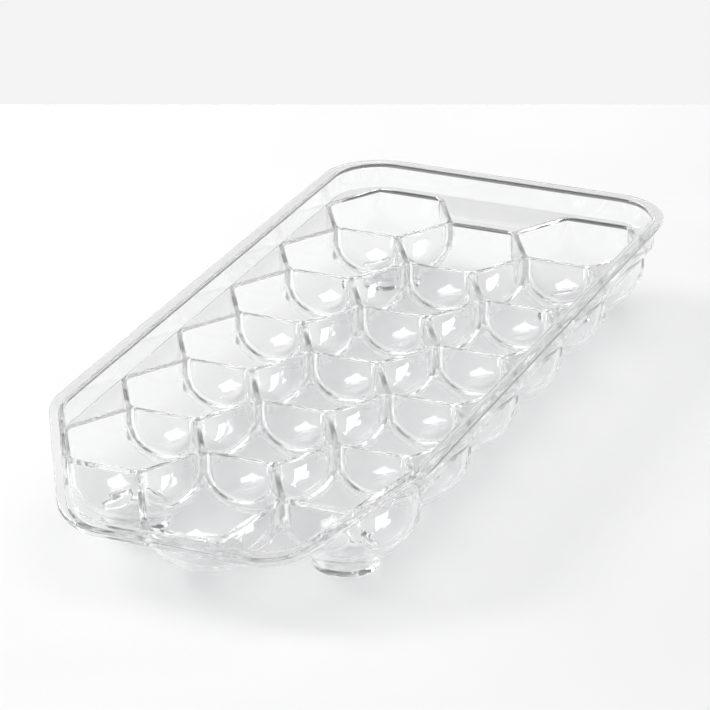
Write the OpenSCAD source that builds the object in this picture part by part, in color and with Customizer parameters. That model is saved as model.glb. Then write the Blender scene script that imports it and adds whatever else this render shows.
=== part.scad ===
// Egg holder tray: one clear moulding with three staggered columns of cups.
// Units are millimetres. +Z is up, +Y runs from the low nose to the back and X runs across.
// The origin is on the resting plane, midway between the sides and between nose and back.
// Each region of the moulding is its own node, and neighbouring regions meet face to face.

/* [Cups] */
// Distance between cup centres, along a column and between neighbouring columns
pitch = 50; // [48:0.5:56]
// Width of the ridge left between the mouths of two cups
ridge_w = 2.4; // [1.6:0.1:3]
// Trim that rounds off each of the six corners of a mouth
corner_trim = 0.8; // [0.3:0.1:1.5]
// Radius of the round bowl past the six flat sides of the mouth, which cut into it
bowl_past = 3.8; // [3.2:0.1:5]
// Height of the bowl's centre above the resting plane
bowl_mid_h = 32.1; // [31:0.1:34]
// Height of the cup floor above the resting plane
floor_h = 7.5; // [6:0.5:9]
// Wall, floor and deck thickness
wall_t = 2; // [1.6:0.1:2.4]

/* [Feet] */
// Step by which a foot is narrower than the flat underside of its cup
foot_step = 0.25; // [0.1:0.05:1]

/* [Deck and rim] */
// Height of the deck and of the ridges
deck_h = 35; // [33:0.5:38]
// Rise of the rim's top above the deck, along the sides and the back
rim_rise = 10.5; // [7:0.5:14]
// Drop of the rim from its sides to its front edge
rim_drop = 20; // [10:1:22]
// Width of the rim's flat top, measured from the wall's inner face
rim_w = 5.7; // [4:0.1:7]
// Thickness of the rim's overhanging lip
lip_t = 2; // [1.5:0.1:3]
// Deck left between the tip of an outer cup's mouth and the side wall
side_land = 1.3; // [1:0.1:4]
// Deck left between an end cup's mouth and the front or back wall
end_land = 4.4; // [3:0.1:10]
// Inner radius of the wall at the four end corners
corner_r = 21; // [8:1:28]
// Inner radius of the wall at the two shoulders, where the nose begins to narrow
shoulder_r = 19; // [5:1:24]

/* [Hidden] */
$fn = 96;
corner_steps = 8;
far = 1000;
eps = 1;

COLUMNS = ["left", "middle", "right"];
SIDES = ["left", "right"];
ENDS = ["front", "back"];
CUPS_PER_COLUMN = 6;
ROWS = [1:CUPS_PER_COLUMN];

function cup_name(column, row) = str("cup_", column, "_", row);
function foot_name(end, side) = str("foot_", end, "_", side);

// The cells are hexagons, so the columns stand closer together than the cups in a column.
column_x = pitch * cos(30);
mouth_flat = pitch - ridge_w;
mouth_r = mouth_flat / 2 / cos(30) - corner_trim;
bowl_r = mouth_flat / 2 + bowl_past;
rim_h = deck_h + rim_rise;
foot_top = floor_h - wall_t;
// Radius of the flat underside of a cup, where its bottom cuts the outside of the bowl.
boss_r = sqrt(pow(bowl_r + wall_t, 2) - pow(bowl_mid_h - foot_top, 2));
foot_r = boss_r - foot_step;

function side_sign(side) = side == "left" ? -1 : side == "right" ? 1 : 0;
function cup_x(column) = side_sign(column) * column_x;
// The middle column is half a pitch nearer the front than the outer two.
function cup_y(column, row) =
    pitch * (row - (CUPS_PER_COLUMN + 1) / 2 + (column == "middle" ? -0.25 : 0.25));
function is_corner_cup(column, row) = column != "middle" && (row == 1 || row == CUPS_PER_COLUMN);

// Faces of the wall's inner side. The nose's slanted walls lie along the corner cups' cells.
inner_x = column_x + mouth_r + side_land;
inner_y = cup_y("left", CUPS_PER_COLUMN) + mouth_flat / 2 + end_land;
nose_cup_y = cup_y("left", 1);

// Folds across the tray: in front of them the rim and the deck run downhill together.
deck_fold_y = cup_y("middle", 1);
rim_fold_y = shoulder_y(rim_w);
nose_slope = atan(rim_drop / (rim_fold_y + inner_y + rim_w));

// Outline of the tray at a distance out from the wall's inner face.
function nose_plane(out) = column_x * cos(30) - nose_cup_y * sin(30) + pitch / 2 + out;
function shoulder_y(out) = ((inner_x + out) * cos(30) - nose_plane(out)) / sin(30);
function nose_x(out) = (nose_plane(out) - (inner_y + out) * sin(30)) / cos(30);

function unit(v) = v / norm(v);
// Points of an arc of radius r that rounds the corner p between its neighbours a and b.
function corner_arc(a, p, b, r) =
    let (u = unit(a - p), w = unit(b - p), half = acos(u * w) / 2,
         centre = p + unit(u + w) * r / sin(half),
         start = p + u * r / tan(half) - centre,
         turn = 180 - 2 * half,
         first = atan2(start.y, start.x))
    [for (i = [0:corner_steps])
        centre + r * [cos(first + turn * i / corner_steps), sin(first + turn * i / corner_steps)]];

function outline(out) =
    let (x = inner_x + out, y = inner_y + out, s = shoulder_y(out), n = nose_x(out),
         points = [[x, s], [x, y], [-x, y], [-x, s], [-n, -y], [n, -y]],
         radii = [shoulder_r, corner_r, corner_r, shoulder_r, corner_r, corner_r])
    [for (i = [0:5]) each
        corner_arc(points[(i + 5) % 6], points[i], points[(i + 1) % 6], radii[i] + out)];

// Everything below a surface that is level at h behind fold_y and runs downhill in front of it.
module below(h, fold_y) {
    rotate([90, 0, 90])
        linear_extrude(far, center = true)
            polygon([[far, -far], [far, h], [fold_y, h],
                     [-far, h - (far + fold_y) * tan(nose_slope)], [-far, -far]]);
}

// Sheet of thickness t under such a surface.
module folded_sheet(h, fold_y, t) {
    difference() {
        below(h, fold_y);
        below(h - t, fold_y);
    }
}

module deck_sheet() {
    folded_sheet(deck_h, deck_fold_y, wall_t);
}

// Hexagon of the given width across its flats, with two edges running along X.
module hexagon(flats) {
    circle(r = flats / 2 / cos(30), $fn = 6);
}

module at_cup(column, row) {
    translate([cup_x(column), cup_y(column, row), 0]) children();
}

CENTRES = [for (column = COLUMNS, row = ROWS) [cup_x(column), cup_y(column, row)]];
function has_cup(p) = len([for (c = CENTRES) if (norm(c - p) < eps) c]) > 0;

// Plan of a cup: half a pitch wide towards each neighbour, and its own wall thickness
// past the mouth on the open sides.
module cell(column, row) {
    centre = [cup_x(column), cup_y(column, row)];
    translate(centre) difference() {
        hexagon(mouth_flat + 2 * wall_t);
        for (turn = [30:60:330])
            if (has_cup(centre + pitch * [cos(turn), sin(turn)]))
                rotate(turn) translate([pitch / 2, -pitch]) square(2 * pitch);
    }
}

module cup_hollow(column, row) {
    at_cup(column, row) {
        intersection() {
            translate([0, 0, floor_h]) linear_extrude(deck_h) intersection() {
                hexagon(mouth_flat);
                circle(r = mouth_r);
            }
            translate([0, 0, bowl_mid_h]) {
                sphere(r = bowl_r);
                cylinder(r = bowl_r, h = deck_h);
            }
        }
        if (is_corner_cup(column, row))
            cylinder(r = foot_r - wall_t, h = floor_h + eps);
    }
}

// Outside of the bowl, from its flat underside to the top of the deck.
module cup_body(column, row) {
    intersection() {
        at_cup(column, row) {
            intersection() {
                translate([0, 0, bowl_mid_h]) sphere(r = bowl_r + wall_t);
                translate([0, 0, foot_top]) cylinder(r = pitch, h = bowl_mid_h - foot_top);
            }
            translate([0, 0, bowl_mid_h]) cylinder(r = bowl_r + wall_t, h = deck_h);
        }
        below(deck_h - wall_t, deck_fold_y);
        linear_extrude(deck_h) polygon(outline(wall_t));
    }
}

module cup(column, row) {
    color([0.86, 0.88, 0.88, 0.45])
    difference() {
        intersection() {
            linear_extrude(deck_h) cell(column, row);
            union() {
                cup_body(column, row);
                intersection() {
                    deck_sheet();
                    linear_extrude(deck_h) polygon(outline(0));
                }
            }
        }
        cup_hollow(column, row);
    }
}

// Tall hollow foot that carries a corner cup down to the resting plane.
module foot(end, side) {
    color([0.80, 0.83, 0.84, 0.6])
    at_cup(side, end == "front" ? 1 : CUPS_PER_COLUMN) difference() {
        cylinder(r = foot_r, h = foot_top);
        translate([0, 0, wall_t]) cylinder(r = foot_r - wall_t, h = foot_top);
    }
}

// Part of the deck around the cells, kept where the children are.
module deck_region() {
    intersection() {
        deck_sheet();
        translate([0, 0, -far / 2]) linear_extrude(far) difference() {
            intersection() {
                polygon(outline(0));
                children();
            }
            for (column = COLUMNS, row = ROWS) cell(column, row);
        }
    }
}

// Rectangle over the plan between two values of y, on both sides of the tray.
module strip(y1, y2) {
    translate([-far / 2, y1]) square([far, y2 - y1]);
}

back_cup_y = cup_y("left", CUPS_PER_COLUMN);
// Outer end of the ridge between two cups of an outer column.
web_x = column_x + pitch / 2 * tan(30);

// Triangles of deck between an outer column and the side wall.
module side_webs(side) {
    color([0.88, 0.90, 0.90, 0.4])
    deck_region() intersection() {
        strip(nose_cup_y, back_cup_y);
        translate([side_sign(side) * (web_x + far / 2), 0]) square(far, center = true);
    }
}

module back_deck() {
    color([0.88, 0.90, 0.90, 0.4])
    deck_region() strip(back_cup_y, far / 2);
}

module front_apron() {
    color([0.88, 0.90, 0.90, 0.4])
    deck_region() strip(-far / 2, deck_fold_y);
}

// Ring around the tray between two outlines, kept where the children are.
module ring(in, out) {
    translate([0, 0, -far / 2]) linear_extrude(far) intersection() {
        difference() {
            polygon(outline(out));
            polygon(outline(in));
        }
        children();
    }
}

// Plan of one straight side, between the back corner's arc and the shoulder's arc.
side_front_y = shoulder_y(0) + shoulder_r;
side_back_y = inner_y - corner_r;
module side_plan(side) {
    intersection() {
        strip(side_front_y, side_back_y);
        translate([side_sign(side) * far / 2, 0]) square(far - column_x, center = true);
    }
}

// Upright wall from the underside of the deck to the underside of the rim.
module wall() {
    color([0.82, 0.85, 0.86, 0.5])
    intersection() {
        difference() {
            below(rim_h - lip_t, rim_fold_y);
            below(deck_h - wall_t, deck_fold_y);
        }
        ring(0, wall_t) children();
    }
}

// Flat rim that overhangs the wall outwards.
module rim() {
    color([0.72, 0.76, 0.78, 0.7])
    intersection() {
        folded_sheet(rim_h, rim_fold_y, lip_t);
        ring(0, rim_w) children();
    }
}

for (column = COLUMNS, row = ROWS)
    cup(column, row);
for (end = ENDS, side = SIDES)
    foot(end, side);
for (side = SIDES) {
    side_webs(side);
    wall() side_plan(side);
    rim() side_plan(side);
}
back_deck();
front_apron();
wall() strip(side_back_y, far / 2);  // back_wall
wall() strip(-far / 2, side_front_y);  // nose_wall
rim() strip(side_back_y, far / 2);  // rim_back
rim() strip(-far / 2, side_front_y);  // rim_nose
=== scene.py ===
# %% [markdown]
# # A clear egg tray
#
# The real tray is a single injection moulding in colourless plastic: eighteen round cups
# under a honeycomb of thin ridges, a low wall around them and a flat rim that overhangs
# the wall. Nothing on it moves.
#
# Clear plastic shows everything that is inside it, so a tray put together from touching
# blocks would show every seam. This lesson therefore makes one closed skin: a polar grid
# for the inside and the outside of each cup, one profile swept around the wall and the
# rim, and flat deck between them. The grids share their edge points, and merging the
# points sews them into a single solid.

# %% Load the engineering model
import math

import bmesh
import bpy
import numpy as np
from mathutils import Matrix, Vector
from mathutils.geometry import delaunay_2d_cdt


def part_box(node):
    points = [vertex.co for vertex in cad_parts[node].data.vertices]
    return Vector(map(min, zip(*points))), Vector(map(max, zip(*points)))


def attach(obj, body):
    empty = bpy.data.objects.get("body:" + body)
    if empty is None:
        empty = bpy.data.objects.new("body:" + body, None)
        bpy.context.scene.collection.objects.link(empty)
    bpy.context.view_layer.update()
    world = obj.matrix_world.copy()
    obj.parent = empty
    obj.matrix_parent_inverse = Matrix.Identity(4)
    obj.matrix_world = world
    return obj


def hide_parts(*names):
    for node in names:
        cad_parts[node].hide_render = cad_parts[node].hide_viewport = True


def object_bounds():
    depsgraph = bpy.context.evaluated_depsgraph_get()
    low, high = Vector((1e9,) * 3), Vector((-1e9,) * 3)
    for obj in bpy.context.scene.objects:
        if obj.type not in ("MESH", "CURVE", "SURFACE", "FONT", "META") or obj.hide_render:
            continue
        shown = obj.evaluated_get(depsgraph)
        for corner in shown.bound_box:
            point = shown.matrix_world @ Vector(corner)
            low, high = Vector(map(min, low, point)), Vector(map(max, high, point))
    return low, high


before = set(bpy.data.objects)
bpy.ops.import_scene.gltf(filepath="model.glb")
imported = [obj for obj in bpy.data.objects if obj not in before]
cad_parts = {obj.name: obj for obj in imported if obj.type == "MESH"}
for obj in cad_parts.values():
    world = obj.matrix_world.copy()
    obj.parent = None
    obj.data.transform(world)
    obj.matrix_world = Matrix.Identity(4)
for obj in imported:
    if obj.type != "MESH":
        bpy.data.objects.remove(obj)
cad_box = [[float(v) for v in corner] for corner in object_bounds()]
print("engineering model, metres:", cad_box)

# %% [markdown]
# ## Sizes
#
# Lengths are worked in millimetres here and turned into metres when a mesh is made. The
# layout is measured from the engineering model, so that the two always agree. The sizes
# that no box shows, those of the mouths and the bowls, are given here, as are the small
# radii, which are the ones a moulder would give such a tray.

# %% Measure the layout
MM = 0.001


def box_mm(node):
    """Lowest and highest corner of a solid, in millimetres."""
    low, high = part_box(node)
    return np.array(low) / MM, np.array(high) / MM


cup_names = sorted(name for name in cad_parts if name.startswith("cup_"))
wall_low, wall_high = box_mm("side_wall_right")
rim_low, rim_high = box_mm("rim_right")
cell_low, cell_high = box_mm("cup_middle_3")
foot_low, foot_high = box_mm("foot_back_right")
nose_low, _ = box_mm("rim_nose")

PITCH = cell_high[1] - cell_low[1]
COLUMN_X = PITCH * math.cos(math.radians(30))
THICK = wall_high[0] - wall_low[0]
DECK_H = cell_high[2]
BOSS_Z = cell_low[2]
RIM_H = rim_high[2]
RIM_W = rim_high[0] - wall_low[0]
LIP = rim_high[2] - rim_low[2]
FOOT_R = (foot_high[0] - foot_low[0]) / 2
INNER_X = wall_low[0]
INNER_Y = cad_box[1][1] / MM - RIM_W

MOUTH_FLAT = PITCH / 2 - 1.2   # from a cup's centre to the flat side of its mouth
MOUTH_ROUND = 5.0              # radius of the upright corners of its mouth
BOWL_R = 27.6
BOWL_MID = 32.1                # height of the bowl's centre
OUT_R = BOWL_R + THICK
FLOOR_Z = BOSS_Z + THICK
BOSS_R = math.sqrt(OUT_R ** 2 - (BOWL_MID - BOSS_Z) ** 2)
RIDGE_EDGE = 1.0               # radius of a ridge's rounded edges
DRAFT = 0.025                  # lean of a mouth's flats, which frees them from the mould
FILLET = 1.3                   # depth of the easing where a flat cuts the bowl


def centre_of(name):
    """Centre of a cup in plan. Rows are one pitch apart, and the two outer columns stand
    half a pitch further back than the middle one."""
    _, column, row = name.split("_")
    side = {"left": -1, "middle": 0, "right": 1}[column]
    return side * COLUMN_X, (cell_low[1] + cell_high[1]) / 2 + PITCH * (
        int(row) - 3 + 0.5 * abs(side))


centres = np.array([centre_of(name) for name in cup_names])
print("pitch %.2f, deck %.2f, rim %.2f x %.2f, foot radius %.2f" % (
    PITCH, DECK_H, RIM_H, RIM_W, FOOT_R))

# %% [markdown]
# ## The two folded surfaces
#
# Behind a fold, the deck and the rim are level. In front of it they run downhill
# together. A mould is never folded to a knife's edge, so each fold is eased: the distance
# past it is replaced by half of itself plus its rounded absolute value.

# %% Heights of deck and rim
front_cup_y = centres[:, 1].min()                  # the middle column's first cup
side_cup_y = centres[centres[:, 0] > 1][:, 1].min()  # the outer columns' first cups
nose_plane = COLUMN_X * math.cos(math.radians(30)) - side_cup_y * 0.5 + PITCH / 2


def shoulder_y(out):
    """Where lines that far out from the slanted wall and from the side wall meet."""
    return ((INNER_X + out) * math.cos(math.radians(30)) - nose_plane - out) / 0.5


def nose_x(out):
    """Where lines that far out from the slanted wall and from the front wall meet."""
    return (nose_plane + out - (INNER_Y + out) * 0.5) / math.cos(math.radians(30))


RIM_FOLD = shoulder_y(RIM_W)
SLOPE = (RIM_H - nose_low[2] - LIP) / (RIM_FOLD + INNER_Y + RIM_W)


def past(y, fold, ease):
    """Distance in front of the fold, never negative, eased over about that length."""
    t = fold - y
    return 0.5 * (t + np.sqrt(t * t + ease * ease))


DECK_EASE, RIM_EASE = 0.6, 5.0


def deck_z(y):
    return DECK_H - SLOPE * past(y, front_cup_y, DECK_EASE)


def rim_z(y):
    return RIM_H - SLOPE * past(y, RIM_FOLD, RIM_EASE)


print("slope %.3f, rim fold %.1f, nose %.2f" % (SLOPE, RIM_FOLD, rim_z(-INNER_Y - RIM_W)))

# %% [markdown]
# ## The outline
#
# Wall and rim follow one closed line with six rounded corners. At each of its points the
# line has an outward direction, and moving every point by u along it gives the same line
# grown by u, with concentric corners. That one function serves the wall, the rim and the
# edge of the deck.

# %% Outline points and outward directions
CORNER_R, SHOULDER_R = 21.0, 19.0


def outline_points(arc_steps=14, spacing=5.0):
    """Points and unit outward directions around the wall's inner face. Each corner is an
    arc that touches both neighbouring sides, and a side is split evenly between arcs."""
    shoulder = shoulder_y(0.0)
    nose = nose_x(0.0)
    corners = np.array([[INNER_X, shoulder], [INNER_X, INNER_Y], [-INNER_X, INNER_Y],
                        [-INNER_X, shoulder], [-nose, -INNER_Y], [nose, -INNER_Y]])
    radii = [SHOULDER_R, CORNER_R, CORNER_R, SHOULDER_R, CORNER_R, CORNER_R]
    arcs = []
    for i in range(6):
        here = corners[i]
        back, ahead = corners[i - 1] - here, corners[(i + 1) % 6] - here
        back, ahead = back / np.linalg.norm(back), ahead / np.linalg.norm(ahead)
        half = math.acos(back @ ahead) / 2
        bisector = (back + ahead) / np.linalg.norm(back + ahead)
        centre = here + bisector * radii[i] / math.sin(half)
        start = here + back * radii[i] / math.tan(half) - centre
        turn = np.linspace(0, math.pi - 2 * half, arc_steps + 1) + math.atan2(start[1], start[0])
        way = np.stack([np.cos(turn), np.sin(turn)], axis=1)
        arcs.append((centre + radii[i] * way, way))
    points, ways = [], []
    for i in range(6):
        arc, way = arcs[i]
        points.append(arc)
        ways.append(way)
        start, end = arc[-1], arcs[(i + 1) % 6][0][0]
        steps = max(2, int(round(np.linalg.norm(end - start) / spacing)))
        t = np.linspace(0, 1, steps + 1)[1:-1, None]
        points.append(start + t * (end - start))
        ways.append(np.repeat(way[-1:], steps - 1, axis=0))
    return np.concatenate(points), np.concatenate(ways)


edge_p, edge_n = outline_points()
print("outline points:", len(edge_p))


def reach_outline(centre, way, u):
    """Distance from a cup's centre, in each direction, to the outline grown by u. The
    outline is convex, so this is the nearest of the lines that touch it."""
    touch = (edge_p + u * edge_n - centre) * edge_n
    slant = way @ edge_n.T
    reach = touch.sum(axis=1) / np.where(slant > 1e-6, slant, np.nan)
    return np.nanmin(reach, axis=1)


# %% [markdown]
# ## Helpers for profiles
#
# Two small tools do most of the shaping. The first rounds the corners of a polyline, as a
# cutter would. The second takes the smaller of two values but eases the change from one to
# the other, which is the fillet that appears wherever two surfaces of a mould cross.

# %% Rounded polylines and eased minimum
def rounded(points, cuts, steps=4):
    """A polyline whose corners become short curves. Corner i is replaced by the quadratic
    curve from cuts[i] before it to cuts[i] after it, pulled towards the corner."""
    out = [points[0]]
    for i in range(1, len(points) - 1):
        a, p, b = (np.array(points[j], float) for j in (i - 1, i, i + 1))
        if cuts[i] <= 0:
            out.append(tuple(p))
            continue
        start = p + (a - p) / np.linalg.norm(a - p) * cuts[i]
        end = p + (b - p) / np.linalg.norm(b - p) * cuts[i]
        t = np.linspace(0, 1, steps + 1)[:, None]
        out.extend(map(tuple, (1 - t) ** 2 * start + 2 * t * (1 - t) * p + t * t * end))
    out.append(points[-1])
    return np.array(out, float)


def soft_min(a, b, width):
    """The smaller of a and b, less a quarter of width where they are equal, and exact once
    they differ by width."""
    h = np.clip(width - np.abs(a - b), 0, None) / width
    return np.minimum(a, b) - h * h * width / 4


# %% [markdown]
# ## Sewing
#
# Every surface below is a grid of points that is either closed around or open. The skin
# collects the grids, and one merge at the end joins the points that two grids share.

# %% A skin that collects grids
class Skin:
    def __init__(self):
        self.points, self.faces, self.count = [], [], 0

    def grid(self, x, y, z, closed=True):
        """Adds points[row, column] with a four-sided face in each mesh of the grid."""
        rows, columns = x.shape
        index = self.count + np.arange(rows * columns).reshape(rows, columns)
        ahead = np.roll(index, -1, axis=1) if closed else index[:, 1:]
        here = index if closed else index[:, :-1]
        quads = np.stack([here[:-1], ahead[:-1], ahead[1:], here[1:]], axis=-1)
        self.points.append(np.stack([x, y, z], axis=-1).reshape(-1, 3))
        self.faces.append(quads.reshape(-1, 4))
        self.count += rows * columns

    def triangles(self, points, corners):
        self.points.append(points)
        corners = np.asarray(corners) + self.count
        self.faces.append(np.concatenate([corners, corners[:, 2:]], axis=1))
        self.count += len(points)

    def mesh(self, name, merge=2e-6):
        """One closed mesh in metres. Faces that collapse in the merge, such as those at a
        pole, lose their spare corner, and the normals are then turned outwards."""
        points = np.concatenate(self.points) * MM
        faces = np.concatenate(self.faces)
        data = bpy.data.meshes.new(name)
        data.vertices.add(len(points))
        data.vertices.foreach_set("co", points.ravel().astype(np.float32))
        triangle = faces[:, 2] == faces[:, 3]
        lengths = np.where(triangle, 3, 4)
        keep = np.ones(faces.shape, bool)
        keep[triangle, 3] = False
        data.loops.add(int(lengths.sum()))
        data.loops.foreach_set("vertex_index", faces[keep].astype(np.int32))
        data.polygons.add(len(faces))
        data.polygons.foreach_set("loop_start", np.concatenate(
            [[0], np.cumsum(lengths)[:-1]]).astype(np.int32))
        data.update(calc_edges=True)
        bm = bmesh.new()
        bm.from_mesh(data)
        bmesh.ops.remove_doubles(bm, verts=bm.verts, dist=merge)
        bmesh.ops.dissolve_degenerate(bm, edges=bm.edges, dist=merge)
        bmesh.ops.recalc_face_normals(bm, faces=bm.faces)
        open_edges = sum(1 for e in bm.edges if len(e.link_faces) != 2)
        volume = bm.calc_volume()
        bm.to_mesh(data)
        bm.free()
        print("%s: %d faces, %d open edges, %.1f cm3" % (
            name, len(data.polygons), open_edges, volume * 1e6))
        return data


skin = Skin()

# %% [markdown]
# ## One cup
#
# A cup's cell is a hexagon, and its points are rays from the centre to points spaced
# evenly along the six sides. Neighbouring cells then share the points on the side between
# them. Along a ray, the inside runs over the floor, up the round bowl, up the flat facet of
# the mouth and over the rounded edge of the ridge. The bowl is a sphere wider than the
# hexagon, so each of the six flats cuts it in an arc and ends in a deep round scallop. An
# eased minimum of the sphere's radius and the hexagon's gives that arc its fillet.

# %% Rays of a cell
PER_SIDE = 12
TOP_EDGE, UNDER_EDGE = -0.4, 1.3   # how far cells reach past the wall's inner face


def neighbour_ways():
    turn = np.radians(30 + 60 * np.arange(6))
    return np.stack([np.cos(turn), np.sin(turn)], axis=1)


def has_cup(point):
    return bool((np.linalg.norm(centres - point, axis=1) < 1).any())


def cell_corners(centre, grow):
    """Six corners of a cell. A side with no neighbour moves outwards by grow, so a corner
    with one missing neighbour moves towards it and a corner with two scales outwards."""
    corners = []
    for i in range(6):
        turn = math.radians(60 * i)
        corner = centre + PITCH / 2 / math.cos(math.radians(30)) * np.array(
            [math.cos(turn), math.sin(turn)])
        around = [centre + PITCH * neighbour_ways()[j] for j in (i - 1, i)]
        missing = [p for p in around if not has_cup(p)]
        if len(missing) == 1:
            away = (missing[0] - corner) / np.linalg.norm(missing[0] - corner)
            corner = corner + away * grow / math.cos(math.radians(30))
        elif len(missing) == 2:
            corner = centre + (corner - centre) * (PITCH / 2 + grow) / (PITCH / 2)
        corners.append(corner)
    return np.array(corners)


def cell_rays(centre, grow, edge):
    """Unit directions, lengths and a mask of the sides that are free or cut by the wall."""
    corners = cell_corners(centre, grow)
    t = np.arange(PER_SIDE)[:, None] / PER_SIDE
    rim = np.concatenate([corners[i] + t * (corners[(i + 1) % 6] - corners[i])
                          for i in range(6)])
    ray = rim - centre
    length = np.linalg.norm(ray, axis=1)
    way = ray / length[:, None]
    cut = reach_outline(centre, way, edge)
    free = np.repeat([not has_cup(centre + PITCH * w) for w in neighbour_ways()], PER_SIDE)
    return way, np.minimum(length, cut), free


def hexagon_reach(way, flat):
    """Distance to the side of a hexagon with rounded corners. Measured from the nearest
    corner's direction, a ray within the corner's reach ends on an arc of radius
    MOUTH_ROUND, and any other ends on the flat: the flat over the cosine of the angle to
    its normal."""
    turn = np.mod(np.arctan2(way[:, 1], way[:, 0]) + math.pi / 6, math.pi / 3) - math.pi / 6
    turn = np.abs(turn)
    middle = (flat - MOUTH_ROUND) / math.cos(math.pi / 6)
    arc = middle * np.cos(turn) + np.sqrt(np.clip(
        MOUTH_ROUND ** 2 - (middle * np.sin(turn)) ** 2, 0, None))
    touch = np.arctan2(MOUTH_ROUND * 0.5, middle + MOUTH_ROUND * math.cos(math.pi / 6))
    return np.where(turn < touch, arc, flat / np.cos(math.pi / 6 - turn))


# %% Inside of a cup
def bowl_height(angle):
    """Height on the sphere at an angle from straight down, carried on upwards past its
    widest circle at the same rate."""
    return BOWL_MID - np.where(angle < math.pi / 2, BOWL_R * np.cos(angle),
                               -BOWL_R * (angle - math.pi / 2))


def bowl_angle(z):
    low = np.arccos(np.clip((BOWL_MID - z) / BOWL_R, -1, 1))
    return np.where(z < BOWL_MID, low, math.pi / 2 + (z - BOWL_MID) / BOWL_R)


def mouth_reach(z, way):
    """Radius of a cup's hollow at a height along each ray: the sphere's, or the hexagon's
    where that is nearer."""
    sphere = np.sqrt(BOWL_R ** 2 - np.clip(BOWL_MID - z, 0, BOWL_R) ** 2)
    return soft_min(sphere, hexagon_reach(way, MOUTH_FLAT - DRAFT * (DECK_H - z)), FILLET)


def lower_inside(deep):
    """Radius and height from the centre to where the bowl takes over. A deep cup opens
    into its foot through a ledge."""
    ledge = math.sqrt(BOWL_R ** 2 - (BOWL_MID - FLOOR_Z) ** 2)
    bowl = math.asin((ledge + 2.2) / BOWL_R)
    end = (BOWL_R * math.sin(bowl), BOWL_MID - BOWL_R * math.cos(bowl))
    if deep:
        r = FOOT_R - THICK
        return rounded([(0, THICK), (5, THICK), (r, THICK), (r, FLOOR_Z), (ledge, FLOOR_Z), end],
                       [0, 0, 0.9, 0.5, 1.0, 0], 5)
    return rounded([(0, FLOOR_Z), (4, FLOOR_Z), (ledge, FLOOR_Z), end], [0, 0, 1.8, 0], 5)


def cup_inside(centre, deep):
    """From the floor up the bowl and the mouth, over the ridge's edge to the cell's sides.
    The rows crowd near the crease, where the bowl's curve turns into a flat."""
    way, length, _ = cell_rays(centre, 0.0, TOP_EDGE)
    top = np.full(len(way), DECK_H)
    for _ in range(14):                      # height at which the hollow meets the deck
        top = deck_z(centre[1] + way[:, 1] * mouth_reach(top, way))
    low = lower_inside(deep)
    a0, a2 = math.asin(low[-1, 0] / BOWL_R), bowl_angle(top - RIDGE_EDGE)
    crease = np.arcsin(np.clip(hexagon_reach(way, MOUTH_FLAT - 0.3) / BOWL_R, 0, 1))
    a1 = np.minimum(crease, a0 + 0.75 * (a2 - a0))
    rise = np.concatenate([
        a0 + np.linspace(0, 1, 12)[1:, None] * (a1 - a0),
        a1 + np.linspace(0, 1, 12)[1:, None] * (a2 - a1)])
    wall_z = bowl_height(rise)
    wall_r = mouth_reach(wall_z, way)
    r1 = mouth_reach(top, way)
    r2 = r1 + np.minimum(0.95, 0.8 * np.clip(length - r1, 0.02, None))
    t = np.linspace(0, 1, 6)[1:, None]
    z_start, r_start = wall_z[-1], wall_r[-1]
    ease_r = (1 - t) ** 2 * r_start + 2 * t * (1 - t) * r1 + t * t * r2
    z_end = deck_z(centre[1] + way[:, 1] * r2)
    ease_z = (1 - t) ** 2 * z_start + 2 * t * (1 - t) * top + t * t * z_end
    land_r = r2 + np.linspace(0, 1, 4)[1:, None] * (length - r2)
    land_z = deck_z(centre[1] + way[:, 1] * land_r)
    ones = np.ones(len(way))
    r = np.concatenate([low[:, :1] * ones, wall_r, ease_r, land_r])
    z = np.concatenate([low[:, 1:] * ones, wall_z, ease_z, land_z])
    skin.grid(centre[0] + r * way[:, 0], centre[1] + r * way[:, 1], z)
    return centre + length[:, None] * way


# %% [markdown]
# ## Outside of a cup
#
# Underneath, the bowl is one wall thickness larger. It ends in a flat underside, and under
# the four corner cups in a tall foot. Two neighbouring bowls run together halfway up, so
# the wall between two mouths is solid and the bowls part in a groove below it. On the open
# sides the mouth's facet has a flat back instead.

# %% Outside of a cup
UNDER_GROW = MOUTH_FLAT + THICK - PITCH / 2   # wall of an open side past half the pitch


def lower_outside(deep):
    """Radius and height from the centre, across the flat underside, to the sphere."""
    bowl = math.asin((BOSS_R + 1.2) / OUT_R)
    end = (OUT_R * math.sin(bowl), BOWL_MID - OUT_R * math.cos(bowl))
    if deep:
        return rounded([(0, 0.0), (6, 0.0), (FOOT_R, 0.0), (FOOT_R, BOSS_Z),
                        (BOSS_R, BOSS_Z + 0.05), end], [0, 0, 0.7, 0.05, 0.1, 0], 5)
    return rounded([(0, BOSS_Z), (6, BOSS_Z), (BOSS_R, BOSS_Z), end], [0, 0, 0.5, 0], 5)


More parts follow.
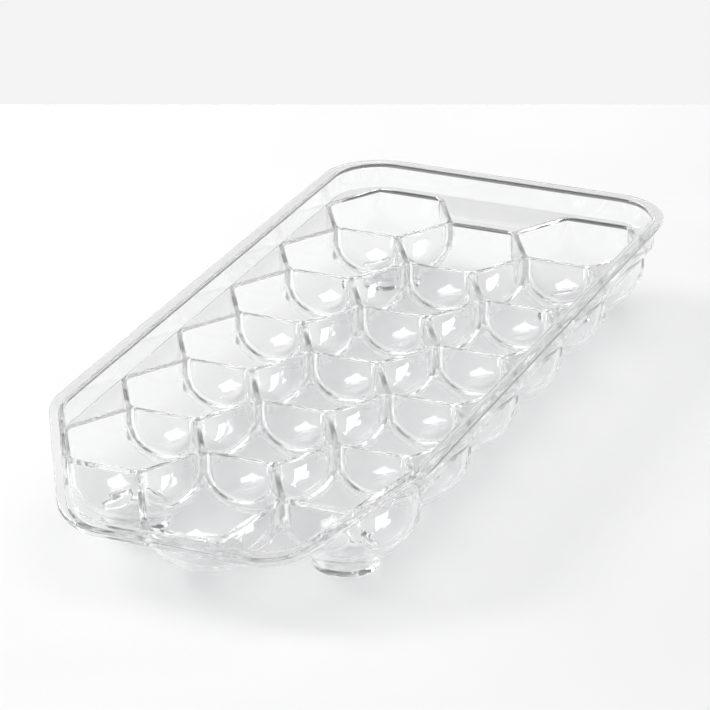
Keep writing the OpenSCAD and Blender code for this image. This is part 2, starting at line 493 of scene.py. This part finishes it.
def cup_outside(centre, deep):
    """The sphere from its flat underside out to the cell's sides, cut off flat where it
    would rise past the deck's underside."""
    way, length, free = cell_rays(centre, UNDER_GROW, UNDER_EDGE)
    reach = np.minimum(length, OUT_R - 0.1)   # an outer corner lies just beyond the sphere
    low = lower_outside(deep)
    start = math.asin(low[-1, 0] / OUT_R)
    rise = start + np.linspace(0, 1, 16)[1:, None] * (np.arcsin(reach / OUT_R) - start)
    wall_r = OUT_R * np.sin(rise) * (1 + (length / reach - 1) * (rise - start) / (
        np.arcsin(reach / OUT_R) - start))
    deck = deck_z(centre[1] + way[:, 1] * wall_r) - THICK
    wall_z = np.minimum(BOWL_MID - OUT_R * np.cos(rise), deck)
    ones = np.ones(len(way))
    r = np.concatenate([low[:, :1] * ones, wall_r])
    z = np.concatenate([low[:, 1:] * ones, wall_z])
    skin.grid(centre[0] + r * way[:, 0], centre[1] + r * way[:, 1], z)
    ring = centre + length[:, None] * way
    # The flat back of each open facet, from the bowl's edge up to the deck's underside.
    for side in range(6):
        if free[side * PER_SIDE]:
            pick = (side * PER_SIDE + np.arange(PER_SIDE + 1)) % len(way)
            t = np.linspace(0, 1, 4)[:, None]
            back = wall_z[-1][pick] + t * (deck[-1][pick] - wall_z[-1][pick])
            strip = np.repeat(ring[pick][None], 4, axis=0)
            skin.grid(strip[..., 0], strip[..., 1], back, closed=False)
    return ring


def middle_of(name):
    low, high = box_mm(name)
    return (low[:2] + high[:2]) / 2


foot_places = [middle_of(name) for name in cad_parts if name.startswith("foot_")]
corner_cups = {name for name in cup_names
               if min(np.linalg.norm(centre_of(name) - place) for place in foot_places) < 1}
top_rings, under_rings = [], []
for name, centre in zip(cup_names, centres):
    deep = name in corner_cups
    top_rings.append(cup_inside(centre, deep))
    under_rings.append(cup_outside(centre, deep))
print("cups with a foot:", sorted(corner_cups))

# %% [markdown]
# ## Wall and rim
#
# One profile goes all the way around: a small fillet off the deck, up the wall, over the
# rounded edge onto the rim's flat top, round the lip, back underneath and down the wall's
# outer face. Each profile point is given by how far out it lies, a share between the deck's
# height and the rim's, and a height above that, so the wall shrinks by itself towards the
# nose.

# %% Sweep the wall and the rim
TOP_START, UNDER_END = -0.35, 1.35


def wall_profile():
    """Rows of (out, share, lift): height is deck + share * (rim - deck) + lift."""
    deck = rounded([(TOP_START, 0.0), (0.0, 0.0), (0.0, 0.9)], [0, 0.34, 0], 4)
    top = rounded([(0.0, -1.6), (0.0, 0.0), (RIM_W, 0.0), (RIM_W, -LIP), (THICK, -LIP),
                   (THICK, -LIP - 0.4)], [0, 0.9, 0.7, 0.5, 0.35, 0], 5)
    foot = rounded([(THICK, 1.0 - THICK), (THICK, -THICK), (UNDER_END, -THICK)], [0, 0.45, 0], 4)
    rise = [(0.0, s, 0.9 * (1 - s) - 1.6 * s) for s in (0.25, 0.5, 0.75)]
    fall = [(THICK, s, (-LIP - 0.4) * s + (1.0 - THICK) * (1 - s)) for s in (0.75, 0.5, 0.25)]
    rows = [(u, 0.0, z) for u, z in deck] + rise + [(u, 1.0, z) for u, z in top] \
        + fall + [(u, 0.0, z) for u, z in foot]
    return np.array(rows)


def spread_flat(rows):
    """Adds rows across the rim's flat top and underside, so that no face there is wide."""
    out = [rows[0]]
    for a, b in zip(rows[:-1], rows[1:]):
        if abs(b[0] - a[0]) > 1.5:
            out += [a + (b - a) * t for t in (0.08, 0.5, 0.92)]
        out.append(b)
    return np.array(out)


profile = spread_flat(wall_profile())
out = profile[:, 0][:, None]
sweep_x = edge_p[:, 0] + out * edge_n[:, 0]
sweep_y = edge_p[:, 1] + out * edge_n[:, 1]
low_z, high_z = deck_z(sweep_y), rim_z(sweep_y)
sweep_z = low_z + profile[:, 1][:, None] * (high_z - low_z) + profile[:, 2][:, None]
skin.grid(sweep_x, sweep_y, sweep_z)
print("wall and rim: %d x %d points" % sweep_x.shape)

# %% [markdown]
# ## The deck between cups and wall
#
# What is left is flat: the triangles beside the outer cups, the strip at the back and the
# sloping apron at the front. A triangulation that keeps given edges covers everything
# inside the wall, and the triangles that fall inside a cell are then dropped.

# %% Fill the deck, above and below
def fill_deck(rings, u, drop):
    """Triangles between the cells' outlines and the outline grown by u, laid on the deck
    lowered by drop."""
    outer = edge_p + u * edge_n
    points = np.concatenate([outer] + rings)
    keys = np.round(points, 3)
    _, first, which = np.unique(keys, axis=0, return_index=True, return_inverse=True)
    which = which.reshape(-1)
    used = points[first]
    edges, start = set(), 0
    for ring in [outer] + rings:
        here = which[start:start + len(ring)]
        pairs = np.sort(np.stack([here, np.roll(here, -1)], axis=1), axis=1)
        edges |= {tuple(p) for p in pairs.tolist() if p[0] != p[1]}
        start += len(ring)
    verts, _, faces, _, _, _ = delaunay_2d_cdt(
        [Vector(p) for p in used], sorted(edges), [which[:len(outer)].tolist()], 1, 1e-5)
    flat = np.array([tuple(v) for v in verts])
    corners = np.array([f for f in faces if len(f) == 3])
    middle = flat[corners].mean(axis=1)
    keep = np.ones(len(corners), bool)
    for ring, centre in zip(rings, centres):
        step = np.roll(ring, -1, axis=0) - ring
        offset = middle[:, None] - ring[None]
        side = step[None, :, 0] * offset[..., 1] - step[None, :, 1] * offset[..., 0]
        keep &= ~(side > 0).all(axis=1)
    xyz = np.column_stack([flat, deck_z(flat[:, 1]) - drop])
    skin.triangles(xyz, corners[keep])
    print("deck lowered by %.1f: %d points given, %d used, %d triangles" % (
        drop, len(used), len(flat), int(keep.sum())))


fill_deck(top_rings, TOP_START, 0.0)
fill_deck(under_rings, UNDER_END, THICK)

# %% Sew the tray
tray_mesh = skin.mesh("egg_tray")
tray_mesh.shade_smooth()
tray_mesh.set_sharp_from_angle(angle=math.radians(32))
tray = bpy.data.objects.new("egg_tray", tray_mesh)
bpy.context.scene.collection.objects.link(tray)
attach(tray, "root")
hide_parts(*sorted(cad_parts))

# %% [markdown]
# ## Shader helpers
#
# Shader maths reads best as plain expressions, so one small class wraps a socket and adds a
# Math node for each operator. Every other node comes from a single method.

# %% Sockets with operators
class Wire:
    def __init__(self, maker, socket):
        self.maker, self.socket = maker, socket

    def _math(self, operation, a, b):
        return self.maker.node("ShaderNodeMath", {"operation": operation}, {0: a, 1: b}).out(0)

    def __add__(self, other): return self._math("ADD", self, other)
    def __mul__(self, other): return self._math("MULTIPLY", self, other)


class Made:
    def __init__(self, maker, node):
        self.maker, self.bl = maker, node

    def out(self, key):
        return Wire(self.maker, self.bl.outputs[key])


class Maker:
    """Makes the nodes of one tree."""

    def __init__(self, tree):
        self.tree = tree
        tree.nodes.clear()

    def node(self, kind, settings=None, sockets=None):
        """A node of a kind. Its settings are set first, then each socket takes a value or
        a link."""
        bl = self.tree.nodes.new(kind)
        for key, value in (settings or {}).items():
            if key == "stops":
                ramp = bl.color_ramp
                while len(ramp.elements) < len(value):
                    ramp.elements.new(0.5)
                for element, (place, colour) in zip(ramp.elements, value):
                    element.position, element.color = place, colour
            else:
                setattr(bl, key, value)
        for key, value in (sockets or {}).items():
            if isinstance(value, Wire):
                self.tree.links.new(value.socket, bl.inputs[key])
            else:
                bl.inputs[key].default_value = value
        return Made(self, bl)


# %% [markdown]
# ## Clear plastic
#
# The tray is polished, colourless plastic. Its surface is never quite flat: the melt leaves
# long, shallow ripples, and handling leaves a faint haze. A slow noise bends the normal a
# little, and a finer one varies the roughness. Real clear plastic lets lamp light through
# to the table, which a path tracer finds only with great effort. So for shadow rays, and
# for rays that leave the table, the surface is swapped for a tinted transparent one.

# %% Clear plastic material
def clear_plastic():
    material = bpy.data.materials.new("clear_plastic")
    material.use_nodes = True
    make = Maker(material.node_tree)
    place = make.node("ShaderNodeTexCoord").out("Object")
    ripple = make.node("ShaderNodeTexNoise", {}, {
        "Vector": place, "Scale": 55.0, "Detail": 1.0, "Roughness": 0.4}).out("Fac")
    haze = make.node("ShaderNodeTexNoise", {}, {
        "Vector": place, "Scale": 420.0, "Detail": 3.0, "Roughness": 0.55}).out("Fac")
    bump = make.node("ShaderNodeBump", {}, {
        "Strength": 0.12, "Distance": 0.00012, "Height": ripple}).out("Normal")
    surface = make.node("ShaderNodeBsdfPrincipled", {}, {
        "Base Color": (0.985, 0.99, 0.99, 1), "Metallic": 0.0, "IOR": 1.5,
        "Transmission Weight": 1.0, "Roughness": haze * 0.05, "Normal": bump})
    lamp_light = make.node("ShaderNodeBsdfTransparent", {}, {"Color": (0.90, 0.902, 0.905, 1)})
    ray = make.node("ShaderNodeLightPath")
    stand_in = ray.out("Is Shadow Ray") + ray.out("Is Diffuse Ray")
    mix = make.node("ShaderNodeMixShader", {}, {
        0: stand_in, 1: surface.out("BSDF"), 2: lamp_light.out("BSDF")})
    make.node("ShaderNodeOutputMaterial", {}, {"Surface": mix.out(0)})
    return material


plastic = clear_plastic()
tray_mesh.materials.append(plastic)

# %% [markdown]
# ## Table, light and camera
#
# The tray stands on a pale table in even studio light. Clear plastic has no colour of its
# own, so what draws it is the room: its edges go grey where they bend towards a darker
# part of the room and white where they catch a lamp. The sky is therefore a quiet grey,
# and broad lamps stand at the left and above.

# %% Table
VIEW_AZ, VIEW_EL = math.radians(22.93), math.radians(23.72)
EYE = (0.5225, -1.2372, 0.6209)
TABLE_FAR, TABLE_NEAR, TABLE_SIDE = 1.72, -1.4, 1.6   # its edges, as seen from the camera
TABLE_Z = -0.0002                                     # just clear of the feet


def table():
    """One quad, square to the camera, so that its far edge is a level line in the picture."""
    ahead = np.array([-math.sin(VIEW_AZ), math.cos(VIEW_AZ)])
    right = np.array([math.cos(VIEW_AZ), math.sin(VIEW_AZ)])
    corners = [np.array(EYE[:2]) + ahead * a + right * b for a, b in (
        (TABLE_NEAR, -TABLE_SIDE), (TABLE_NEAR, TABLE_SIDE),
        (TABLE_FAR, TABLE_SIDE), (TABLE_FAR, -TABLE_SIDE))]
    data = bpy.data.meshes.new("table")
    data.from_pydata([(x, y, TABLE_Z) for x, y in corners], [], [(0, 1, 2, 3)])
    floor = bpy.data.objects.new("table", data)
    bpy.context.scene.collection.objects.link(floor)
    material = bpy.data.materials.new("table_white")
    material.use_nodes = True
    make = Maker(material.node_tree)
    place = make.node("ShaderNodeTexCoord").out("Object")
    vein = make.node("ShaderNodeTexNoise", {}, {
        "Vector": place, "Scale": 3.0, "Detail": 4.0, "Distortion": 1.2}).out("Fac")
    tone = make.node("ShaderNodeValToRGB", {"stops": [
        (0.35, (0.80, 0.80, 0.80, 1)), (0.62, (0.83, 0.83, 0.83, 1))]},
        {"Fac": vein}).out("Color")
    surface = make.node("ShaderNodeBsdfPrincipled", {}, {
        "Base Color": tone, "Roughness": 0.45, "Specular IOR Level": 0.25})
    make.node("ShaderNodeOutputMaterial", {}, {"Surface": surface.out("BSDF")})
    data.materials.append(material)


table()


# %% Room and lamps
def room():
    world = bpy.data.worlds.new("room")
    bpy.context.scene.world = world
    world.use_nodes = True
    make = Maker(world.node_tree)
    way = make.node("ShaderNodeTexCoord").out("Generated")
    height = make.node("ShaderNodeSeparateXYZ", {}, {0: way}).out("Z")
    tone = make.node("ShaderNodeValToRGB", {"stops": [
        (0.0, (0.90, 0.90, 0.90, 1)), (0.48, (0.90, 0.90, 0.90, 1)),
        (0.58, (0.45, 0.45, 0.45, 1)), (0.80, (0.12, 0.12, 0.12, 1))]},
        {"Fac": height * 0.5 + 0.5}).out("Color")
    back = make.node("ShaderNodeBackground", {}, {"Color": tone, "Strength": 1.0})
    make.node("ShaderNodeOutputWorld", {}, {"Surface": back.out("Background")})


AIM = (0, 0, 0.03)


def lamp(name, place, width, height, watts):
    data = bpy.data.lights.new(name, "AREA")
    data.shape, data.size, data.size_y, data.energy = "RECTANGLE", width, height, watts
    thing = bpy.data.objects.new(name, data)
    thing.location = place
    thing.rotation_euler = (Vector(AIM) - Vector(place)).to_track_quat("-Z", "Y").to_euler()
    bpy.context.scene.collection.objects.link(thing)


room()
lamp("window", (-2.4, -0.3, 2.3), 1.2, 1.2, 110)
lamp("overhead", (0.2, 1.0, 3.0), 2.0, 1.4, 46)


# %% Camera
SENSOR, LENS = 36.0, 188.12789   # millimetres: a long lens, from about 1.4 m away


def camera():
    data = bpy.data.cameras.new("camera")
    data.sensor_width, data.lens = SENSOR, LENS
    data.clip_end = 20
    thing = bpy.data.objects.new("camera", data)
    thing.location = EYE
    thing.rotation_euler = (math.pi / 2 - VIEW_EL, 0.0, VIEW_AZ)
    bpy.context.scene.collection.objects.link(thing)
    bpy.context.scene.camera = thing


camera()

# %% [markdown]
# ## Long light paths
#
# Light that enters the edge of a clear wall is mirrored inside it many times before it
# gets out. With too few bounces those paths end in the plastic, and every ridge turns
# black.

# %% Bounces
PATH = 72
scene = bpy.context.scene
scene.view_settings.view_transform = "Standard"
scene.cycles.max_bounces = PATH
scene.cycles.transmission_bounces = PATH
scene.cycles.glossy_bounces = PATH
scene.cycles.transparent_max_bounces = 64
scene.cycles.diffuse_bounces = 4
scene.cycles.use_denoising = True
